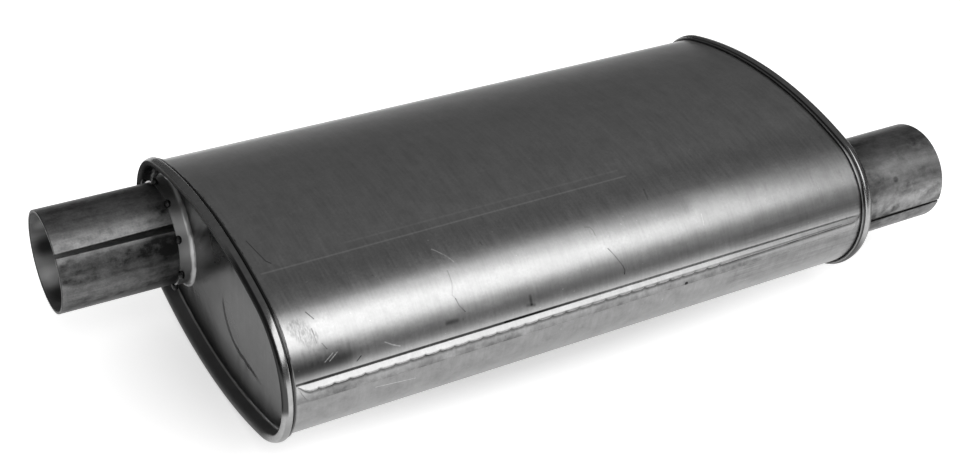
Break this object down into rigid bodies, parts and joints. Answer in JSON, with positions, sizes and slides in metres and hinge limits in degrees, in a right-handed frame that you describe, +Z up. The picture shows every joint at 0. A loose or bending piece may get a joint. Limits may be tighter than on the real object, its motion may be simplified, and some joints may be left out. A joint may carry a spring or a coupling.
{
  "type": "exhaust muffler",
  "caption": "Oval double-wrap exhaust muffler with offset inlet and outlet necks, seamed rims and a lock seam along one side.",
  "frame": {"origin": "on the ground, below the middle of the body", "axes": "+X along the body towards the outlet, +Y across it towards the inlet neck's side, +Z up through its flat side"},
  "size_m": [0.4936, 0.2056, 0.1051],
  "materials": {
    "shell_steel": "satin, with fine marks across the body",
    "head_steel": "satin, scuffed",
    "neck_steel": "dull, with streaks along the pipe",
    "weld_metal": "rough",
    "inner_steel": "dull"
  },
  "bodies": {
    "root": {"outer_shell": "shell_steel", "inner_shell": "inner_steel", "inlet_head": "head_steel", "outlet_head": "head_steel", "inlet_neck": "neck_steel", "outlet_neck": "neck_steel", "inlet_neck_welds": "weld_metal", "outlet_neck_welds": "weld_metal", "inlet_tube": "inner_steel", "return_tube": "inner_steel", "outlet_tube": "inner_steel", "inlet_baffle": "inner_steel", "outlet_baffle": "inner_steel"}
  },
  "joints": []
}
